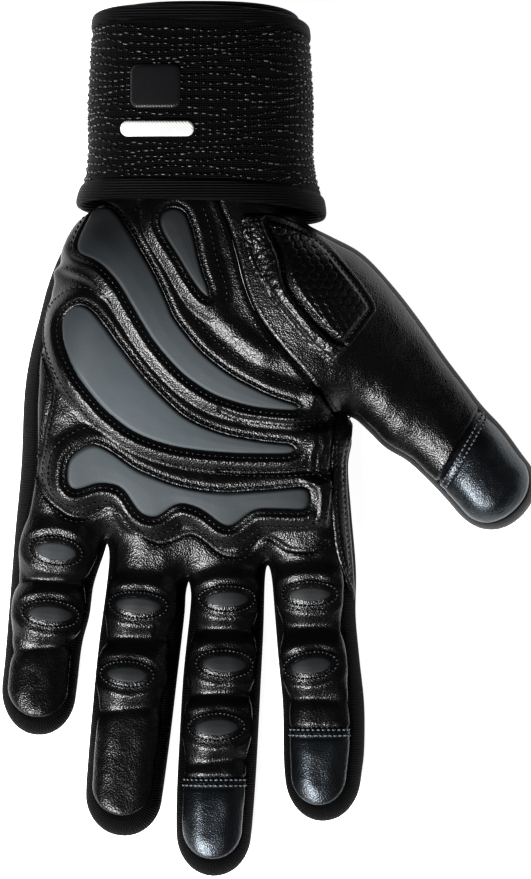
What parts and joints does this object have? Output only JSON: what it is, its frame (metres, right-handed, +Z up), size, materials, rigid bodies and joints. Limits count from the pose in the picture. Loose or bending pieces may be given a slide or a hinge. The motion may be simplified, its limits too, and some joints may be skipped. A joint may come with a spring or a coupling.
{
  "type": "padded weightlifting glove",
  "caption": "Full-finger left-hand glove lying on its back, palm up, with padded palm ridges, smooth inlays, knit side walls and a two-layer wrist wrap.",
  "frame": {"origin": "on the resting plane, on the flat back of the hand under the middle of the palm", "axes": "+Z up out of the palm, +Y from the fingertips towards the open wrist, +X towards the thumb"},
  "size_m": [0.16, 0.2616, 0.0467],
  "materials": {
    "leather": "satin black full-grain leather",
    "grip_leather": "glossy black grip leather",
    "inlay": "matt dark grey smooth sheet",
    "knit": "black ribbed stretch knit",
    "wrap_fabric": "black woven elastic wrap"
  },
  "bodies": {
    "root": {"palm_panel": "leather", "back_panel": "leather", "index_cap": "grip_leather", "middle_cap": "grip_leather", "thumb_cap": "grip_leather", "thumb_panel": "leather", "thumb_back": "leather", "thumb_side": "leather", "index_edge_strip": "leather", "thenar_patch": "leather", "side_little": "knit", "web_little_ring": "knit", "web_ring_middle": "knit", "web_middle_index": "knit", "side_index": "knit", "pad_small": "leather", "pad_long": "leather", "pad_middle": "leather", "pad_wavy": "leather", "pad_little_1": "leather", "pad_little_2": "leather", "pad_ring_1": "leather", "pad_ring_2": "leather", "pad_middle_1": "leather", "pad_middle_2": "leather", "pad_middle_3": "leather", "pad_index_1": "leather", "pad_index_2": "leather", "inlay_small": "inlay", "inlay_long": "inlay", "inlay_middle": "inlay", "inlay_wavy": "inlay", "inlay_little_1": "inlay", "inlay_little_2": "inlay", "inlay_ring_1": "inlay", "inlay_ring_2": "inlay", "inlay_middle_1": "inlay", "inlay_middle_2": "inlay", "inlay_middle_3": "inlay", "inlay_index_1": "inlay", "inlay_index_2": "inlay", "wrap_inner": "wrap_fabric", "wrap_outer": "wrap_fabric", "wrap_binding_bottom": "wrap_fabric", "wrap_binding_top": "wrap_fabric", "wrap_binding_inner": "wrap_fabric"}
  },
  "joints": []
}
